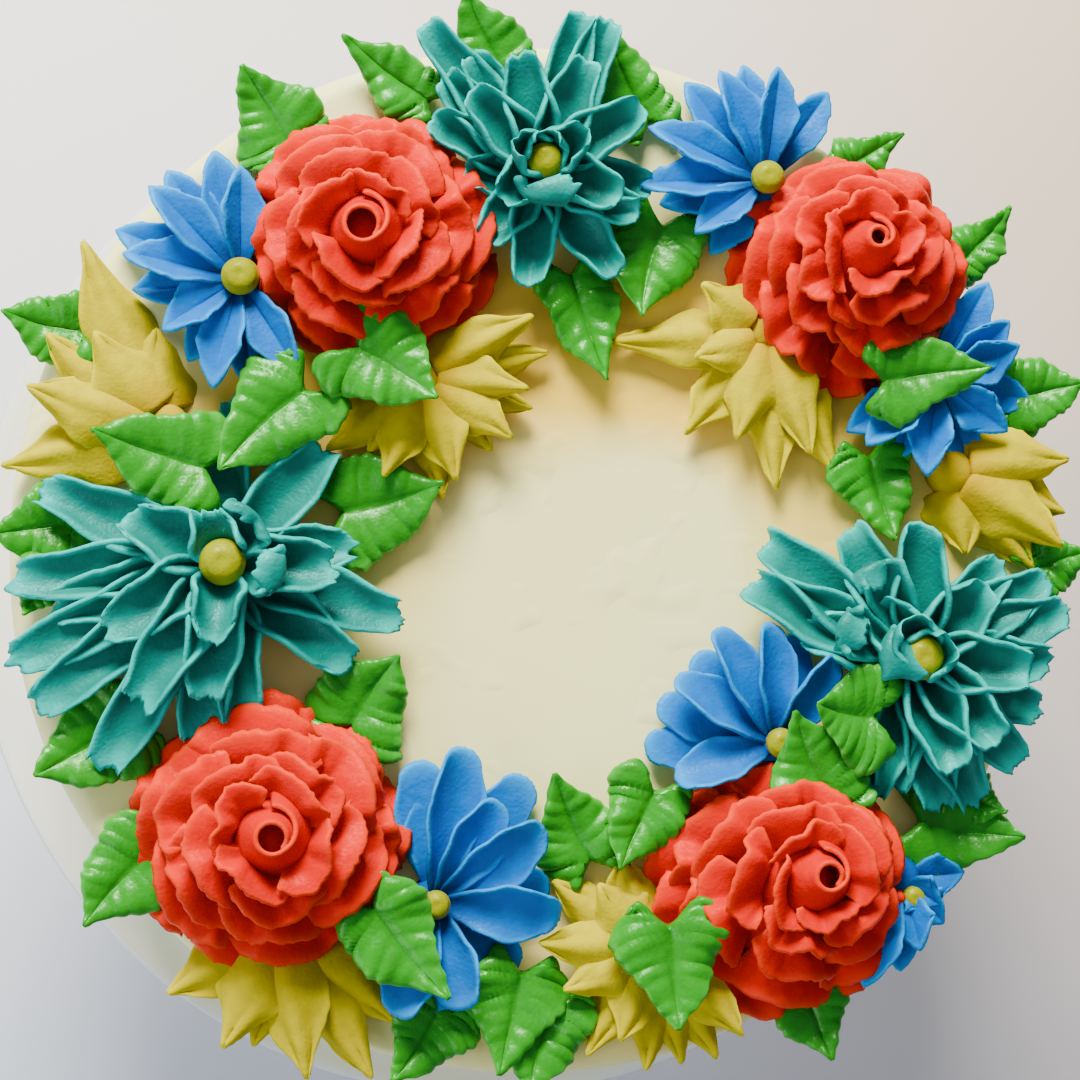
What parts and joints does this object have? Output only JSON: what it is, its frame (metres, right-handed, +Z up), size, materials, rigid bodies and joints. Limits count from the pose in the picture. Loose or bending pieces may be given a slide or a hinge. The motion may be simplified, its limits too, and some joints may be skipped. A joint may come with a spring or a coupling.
{
  "type": "cake on stand",
  "caption": "Round iced cake on a footed stand, with a wreath of piped buttercream flowers and leaves around the edge of its top.",
  "frame": {"origin": "centre of the foot's base, on the surface that the stand rests on", "axes": "+Z up along the stem, +Y towards the top edge of the picture, +X towards its right edge"},
  "size_m": [0.25, 0.25, 0.2213],
  "materials": {
    "china": "smooth glazed china",
    "ivory_icing": "smooth crusted buttercream, satin",
    "coral_icing": "piped buttercream, satin with a fine grain",
    "teal_icing": "piped buttercream, satin",
    "blue_icing": "piped buttercream, satin",
    "yellow_icing": "piped buttercream, satin with a fine grain",
    "dot_icing": "piped buttercream, soft gloss",
    "green_icing": "piped buttercream, moist gloss"
  },
  "bodies": {
    "root": {"stand": "china", "cake": "ivory_icing", "leaf_09": "green_icing", "leaf_13": "green_icing", "leaf_14": "green_icing", "leaf_15": "green_icing", "leaf_24": "green_icing", "leaf_27": "green_icing", "leaf_32": "green_icing", "leaf_33": "green_icing", "dot_teal_1": "dot_icing", "dot_teal_2": "dot_icing", "dot_teal_3": "dot_icing", "dot_blue_1": "dot_icing", "dot_blue_2": "dot_icing", "dot_blue_4": "dot_icing", "dot_blue_5": "dot_icing", "teal_flower_1": "teal_icing", "teal_flower_2": "teal_icing", "teal_flower_3": "teal_icing", "rose_1": "coral_icing", "rose_2": "coral_icing", "rose_3": "coral_icing", "rose_4": "coral_icing", "blue_flower_1": "blue_icing", "blue_flower_2": "blue_icing", "blue_flower_3": "blue_icing", "blue_flower_4": "blue_icing", "blue_flower_5": "blue_icing", "blue_flower_6": "blue_icing", "yellow_flower_1": "yellow_icing", "yellow_flower_2": "yellow_icing", "yellow_flower_3": "yellow_icing", "yellow_flower_4": "yellow_icing", "yellow_flower_5": "yellow_icing", "yellow_flower_6": "yellow_icing", "leaf_01": "green_icing", "leaf_02": "green_icing", "leaf_03": "green_icing", "leaf_04": "green_icing", "leaf_05": "green_icing", "leaf_06": "green_icing", "leaf_07": "green_icing", "leaf_08": "green_icing", "leaf_10": "green_icing", "leaf_11": "green_icing", "leaf_12": "green_icing", "leaf_16": "green_icing", "leaf_17": "green_icing", "leaf_19": "green_icing", "leaf_21": "green_icing", "leaf_22": "green_icing", "leaf_23": "green_icing", "leaf_25": "green_icing", "leaf_26": "green_icing", "leaf_28": "green_icing", "leaf_29": "green_icing", "leaf_30": "green_icing", "leaf_31": "green_icing", "leaf_34": "green_icing"}
  },
  "joints": []
}
